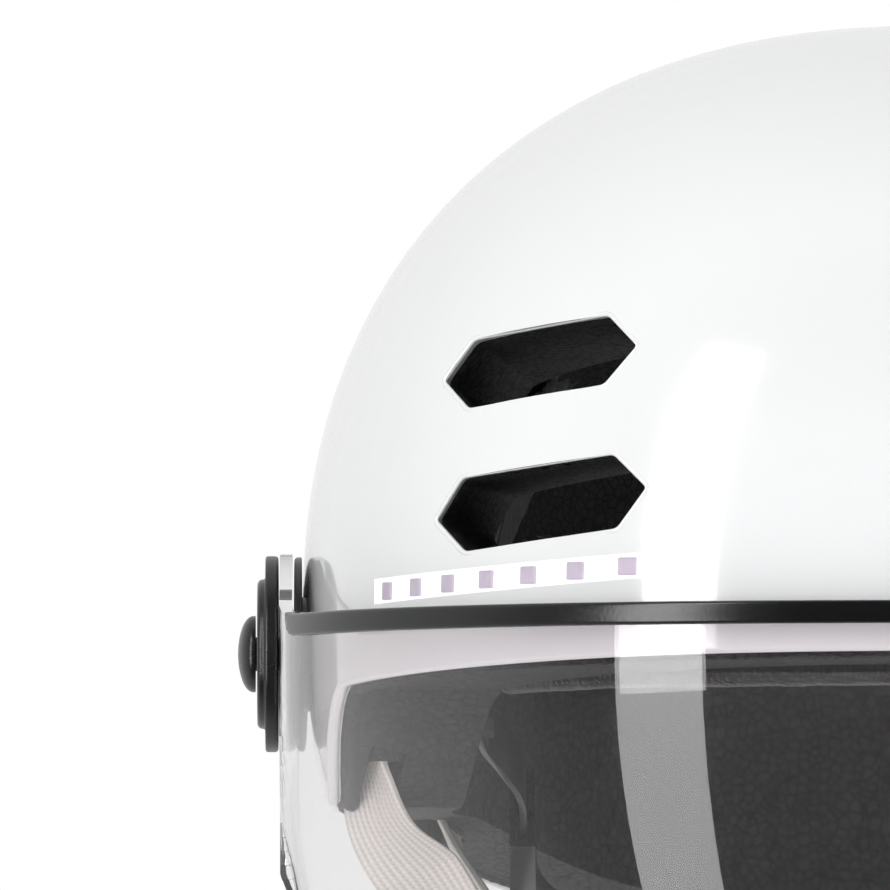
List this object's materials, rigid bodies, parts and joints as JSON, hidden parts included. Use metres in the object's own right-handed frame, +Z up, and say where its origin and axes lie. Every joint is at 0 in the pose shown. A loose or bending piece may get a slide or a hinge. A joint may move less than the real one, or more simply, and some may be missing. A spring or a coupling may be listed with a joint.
{
  "type": "bicycle helmet",
  "caption": "Round urban riding helmet: glossy shell, foam liner, clear flip-up visor on side pivots, brow and rear lights, dial fit ring, straps and sideways buckle.",
  "frame": {"origin": "midway between the two visor pivots, in the middle of the head cavity", "axes": "+X to the wearer's left, -Y the way the wearer faces, +Z up towards the crown"},
  "size_m": [0.2462, 0.2929, 0.2351],
  "materials": {
    "gloss_white": "high gloss",
    "black_foam": "moulded bead foam",
    "pad_fabric": "knitted pad cover",
    "clear_lens": "clear moulded sheet",
    "black_rubber": "satin",
    "black_plastic": "satin",
    "webbing": "woven webbing",
    "steel": "turned",
    "light_cover": "milky diffuser",
    "red_cover": "red diffuser",
    "circuit_board": "coated board",
    "battery_wrap": "shrink wrap"
  },
  "bodies": {
    "helmet": {"battery": "battery_wrap", "brow_pad": "pad_fabric", "buckle_socket": "black_plastic", "chin_pad": "pad_fabric", "chin_strap_left": "webbing", "chin_strap_right": "webbing", "control_board": "circuit_board", "crown_pad": "pad_fabric", "foam_liner": "black_foam", "front_anchor_left": "black_plastic", "front_anchor_right": "black_plastic", "front_led_board_left": "circuit_board", "front_led_board_right": "circuit_board", "front_light_cover_left": "light_cover", "front_light_cover_right": "light_cover", "front_strap_left": "webbing", "front_strap_right": "webbing", "headband_left": "black_plastic", "headband_right": "black_plastic", "outer_shell": "gloss_white", "pivot_nut_left": "steel", "pivot_nut_right": "steel", "pivot_spacer_left": "black_plastic", "pivot_spacer_right": "black_plastic", "rear_anchor_left": "black_plastic", "rear_anchor_right": "black_plastic", "rear_led_board": "circuit_board", "rear_light_cover": "red_cover", "rear_strap_left": "webbing", "rear_strap_right": "webbing", "side_pad_left": "pad_fabric", "side_pad_right": "pad_fabric", "strap_divider_left": "black_plastic", "strap_divider_right": "black_plastic", "webbing_keeper": "black_rubber", "wiring_left": "black_rubber", "wiring_right": "black_rubber"},
    "visor": {"visor_lens": "clear_lens", "visor_seal": "black_rubber", "pivot_disc_left": "black_plastic", "pivot_disc_right": "black_plastic"},
    "knob_left": {"pivot_knob_left": "black_plastic"},
    "knob_right": {"pivot_knob_right": "black_plastic"},
    "cradle": {"fit_cradle": "black_plastic", "cradle_pad": "pad_fabric"},
    "dial": {"fit_dial": "black_rubber"},
    "lever_left": {"divider_lever_left": "black_plastic"},
    "lever_right": {"divider_lever_right": "black_plastic"},
    "plug": {"buckle_plug": "black_plastic"},
    "button": {"power_button": "black_rubber"},
    "flap": {"charge_flap": "black_rubber"}
  },
  "joints": [
    {"name": "visor_tilt", "type": "hinge", "parent": "helmet", "child": "visor", "pos_m": [0, 0, 0], "axis": [-1, 0, 0], "range_deg": [0, 75]},
    {"name": "knob_left_turn", "type": "hinge", "parent": "helmet", "child": "knob_left", "pos_m": [0.12, 0, 0], "axis": [1, 0, 0], "range_deg": [-180, 180]},
    {"name": "knob_right_turn", "type": "hinge", "parent": "helmet", "child": "knob_right", "pos_m": [-0.12, 0, 0], "axis": [-1, 0, 0], "range_deg": [-180, 180]},
    {"name": "cradle_slide", "type": "slide", "parent": "helmet", "child": "cradle", "axis": [0, -0.9397, 0.342], "range_m": [0, 0.012], "deforming": ["headband_left", "headband_right"]},
    {"name": "dial_turn", "type": "hinge", "parent": "cradle", "child": "dial", "pos_m": [0, 0.11088, -0.05636], "axis": [0, -0.9397, 0.342], "range_deg": [0, 229.3]},
    {"name": "lever_left_open", "type": "hinge", "parent": "helmet", "child": "lever_left", "pos_m": [0.064, 0.01749, -0.07121], "axis": [-0.1939, 0.9563, -0.2186], "range_deg": [0, 100]},
    {"name": "lever_right_open", "type": "hinge", "parent": "helmet", "child": "lever_right", "pos_m": [-0.064, 0.01749, -0.07121], "axis": [-0.1939, -0.9563, 0.2186], "range_deg": [0, 100]},
    {"name": "buckle_release", "type": "slide", "parent": "helmet", "child": "plug", "axis": [0.1999, -0.9746, 0.1011], "range_m": [0, 0.024], "deforming": ["chin_strap_left"]},
    {"name": "button_press", "type": "slide", "parent": "helmet", "child": "button", "axis": [0, -1, 0], "range_m": [0, 0.0008], "stiffness_N_per_m": 400, "springref_m": -0.0005},
    {"name": "flap_open", "type": "hinge", "parent": "helmet", "child": "flap", "pos_m": [-0.014, 0.1644, 0.0002], "axis": [-1, 0, 0], "range_deg": [0, 110]}
  ],
  "couplings": [
    {"joint": "dial_turn", "follows": "cradle_slide", "rad_per_m": 333.33}
  ]
}
